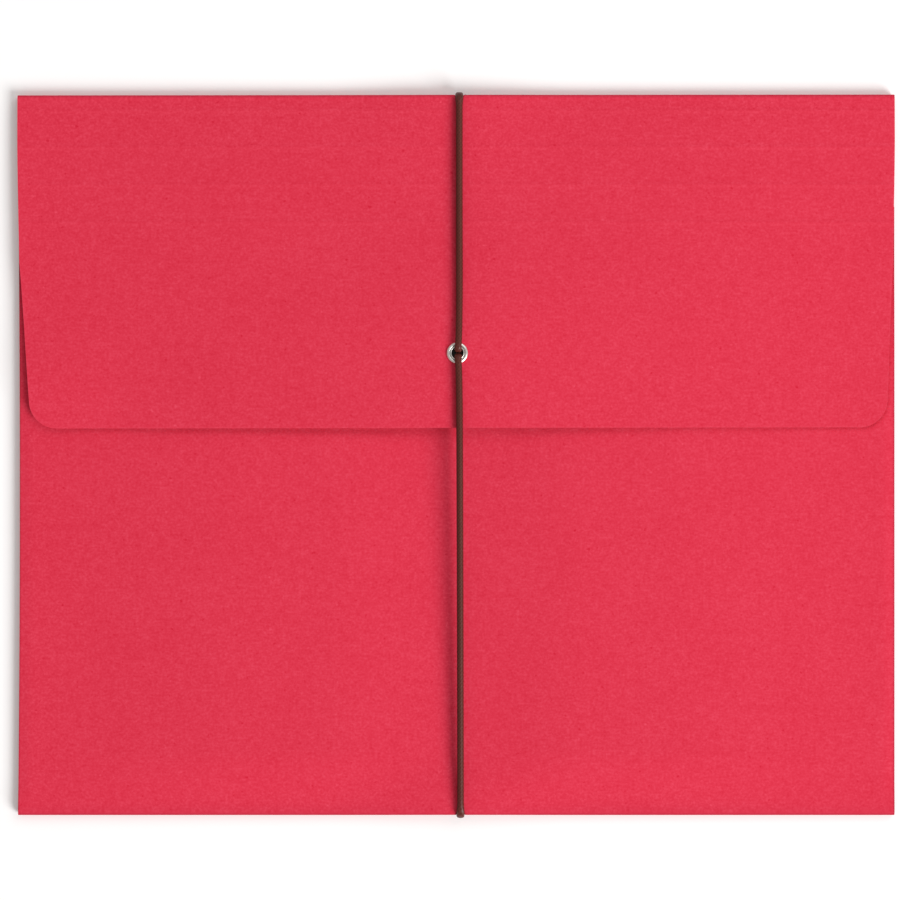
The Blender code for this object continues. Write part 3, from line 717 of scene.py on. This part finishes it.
route = lead_in(1)
route.append((ex + 0.65, ey + 16, over_flap(ey + 16, 0.15), CORD_R))
route.append((CORD_X_TOP, FRONT_TOP, over_flap(FRONT_TOP, 0.3), CORD_R))
route += wrap(Y_TOP_FOLD, R_TOP, z_fold_run, z_back_run, 1, CORD_X_TOP)
route.append((CORD_X_TOP, Y_TOP_FOLD - 9, z_back_run, CORD_R))
route.append((CORD_X_BOTTOM, Y_BOTTOM_FOLD + 9, z_back_run, CORD_R))
route += wrap(Y_BOTTOM_FOLD, R_BOTTOM, z_back_run, z_front_run, -1, CORD_X_BOTTOM)
route.append((CORD_X_BOTTOM, Y_BOTTOM_FOLD + 9, z_front_run + 0.25, CORD_R))
route.append((ex + 0.75, FLAP_END - 2, over_flap(FLAP_END, 0.05), CORD_R))
route.append((ex + 0.65, ey - 15, over_flap(ey - 15, 0.1), CORD_R))
route += lead_in(-1)[::-1]


def smooth_route(points, step):
    out = []
    end = len(points) - 1
    for k in range(end):
        p0, p1 = np.array(points[max(k - 1, 0)]), np.array(points[k])
        p2, p3 = np.array(points[k + 1]), np.array(points[min(k + 2, end)])
        chord = [math.dist(a[:3], b[:3]) ** 0.5 for a, b in ((p0, p1), (p1, p2), (p2, p3))]
        n = max(3, round(math.dist(p1[:3], p2[:3]) / step))
        m1 = m2 = (p2 - p1) / chord[1]
        if chord[0] > 0:
            m1 = (p1 - p0) / chord[0] - (p2 - p0) / (chord[0] + chord[1]) + m1
        if chord[2] > 0:
            m2 = m2 - (p3 - p1) / (chord[1] + chord[2]) + (p3 - p2) / chord[2]
        m1, m2 = m1 * chord[1], m2 * chord[1]
        for j in range(n):
            t = j / n
            out.append((2 * t**3 - 3 * t**2 + 1) * p1 + (t**3 - 2 * t**2 + t) * m1 + (3 * t**2 - 2 * t**3) * p2 + (t**3 - t**2) * m2)
    return np.array(out + [np.array(points[-1])])


line = smooth_route(route, 0.5)
along = np.concatenate([[0], np.cumsum(np.linalg.norm(np.diff(line[:, :3], axis=0), axis=1))])
cord_length = float(along[-1])
s = np.linspace(0, cord_length, int(cord_length / 0.25))
line = np.stack([np.interp(s, along, line[:, k]) for k in range(4)], axis=1)
tangent = np.gradient(line[:, :3], axis=0)
tangent /= np.linalg.norm(tangent, axis=1, keepdims=True)
sideways = np.array([1.0, 0, 0]) - tangent[:, :1] * tangent
sideways /= np.linalg.norm(sideways, axis=1, keepdims=True)
outward = np.cross(tangent, sideways)
AROUND = 32
phi = 2 * np.pi * np.arange(AROUND) / AROUND
wind = 2 * np.pi * s / 8.4
yarn = np.maximum(np.cos(6 * (phi[None, :] + wind[:, None])), np.cos(6 * (phi[None, :] - wind[:, None])))
yarn = 0.5 + 0.5 * yarn
bent = ease((np.abs(line[:, 1]) - 118.0) / 3.5)[:, None]  # it flattens where it goes over the folds
pinch = ease((3.2 - np.hypot(line[:, 1] - ey, 0.4 * np.maximum(line[:, 2] - z_over, 0))) / 2.6)[:, None]  # it spreads a little where the hole squeezes it
rx = np.maximum(line[:, 3], 1.15)[:, None] * (1 + 0.10 * pinch) + 0.01 + 0.2 * bent - 0.045 + 0.045 * yarn
rn = np.maximum(line[:, 3], 0.88)[:, None] - 0.10 * bent - 0.045 + 0.045 * yarn
power = 1 - 0.3 * bent
flat_cos = np.sign(np.cos(phi)) * np.abs(np.cos(phi)) ** power
flat_sin = np.sign(np.sin(phi)) * np.abs(np.sin(phi)) ** power
points = (
    line[:, None, :3]
    + (rx * flat_cos)[:, :, None] * sideways[:, None, :]
    + (rn * flat_sin)[:, :, None] * outward[:, None, :]
).reshape(-1, 3)
faces = []
count = len(s)
for i in range(count - 1):
    for j in range(AROUND):
        k = (j + 1) % AROUND
        faces.append((i * AROUND + j, i * AROUND + k, (i + 1) * AROUND + k, (i + 1) * AROUND + j))
faces.append(tuple(range(AROUND))[::-1])
faces.append(tuple(range((count - 1) * AROUND, count * AROUND)))
uv = np.stack(
    [np.repeat((1.15 * np.abs(phi - np.pi))[None, :], count, axis=0), np.repeat(s[:, None], AROUND, axis=1)], axis=2
).reshape(-1, 2)
# the yarn relief goes on to the material as painted light and shade
cord = mesh_piece("braided_cord", points, faces, BROWN, uv, None, {"braid_painted_light": yarn.ravel()}, 0)
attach(cord, "flap")
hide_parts("elastic_cord")
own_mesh(cord)

# ------------------------------------------------------------------ floor, light and world
floor_mesh = bpy.data.meshes.new("floor")
floor_mesh.from_pydata([(-4, -4, 0), (4, -4, 0), (4, 4, 0), (-4, 4, 0)], [], [(0, 1, 2, 3)])
floor = bpy.data.objects.new("floor", floor_mesh)
floor.location.z = -0.0002
bpy.context.scene.collection.objects.link(floor)
n = Nodes("pale_floor")
n.shader.inputs["Base Color"].default_value = (0.90, 0.90, 0.90, 1)
n.shader.inputs["Emission Color"].default_value = (1, 1, 1, 1)
n.shader.inputs["Emission Strength"].default_value = 0.11
n.shader.inputs["Roughness"].default_value = 0.9
n.shader.inputs["Specular IOR Level"].default_value = 0.1
floor_mesh.materials.append(n.material)


def lamp(name, azimuth, elevation, distance, size, power):
    """A round soft light aimed at the middle; azimuth is from +X towards +Y."""
    data = bpy.data.lights.new(name, "AREA")
    data.shape = "DISK"
    data.size = size
    data.energy = power
    obj = bpy.data.objects.new(name, data)
    a, e = math.radians(azimuth), math.radians(elevation)
    obj.location = Vector((math.cos(a) * math.cos(e), math.sin(a) * math.cos(e), math.sin(e))) * distance
    obj.rotation_mode = "QUATERNION"
    obj.rotation_quaternion = obj.location.to_track_quat("Z", "Y")
    bpy.context.scene.collection.objects.link(obj)
    return obj


lamp("key_light", -42.0, 36.0, 4.4, 2.6, 182.6)
lamp("fill_light", 60.0, 45.0, 1.3, 1.0, 3.52)
world = bpy.data.worlds.new("studio")
world.use_nodes = True
world.node_tree.nodes["Background"].inputs["Color"].default_value = (1.0, 0.945, 0.92, 1)
world.node_tree.nodes["Background"].inputs["Strength"].default_value = 0.433
bpy.context.scene.world = world
bpy.context.scene.view_settings.view_transform = "Standard"

# ------------------------------------------------------------------ cord length
bpy.context.view_layer.update()
print("cord length mm", round(cord_length, 1))
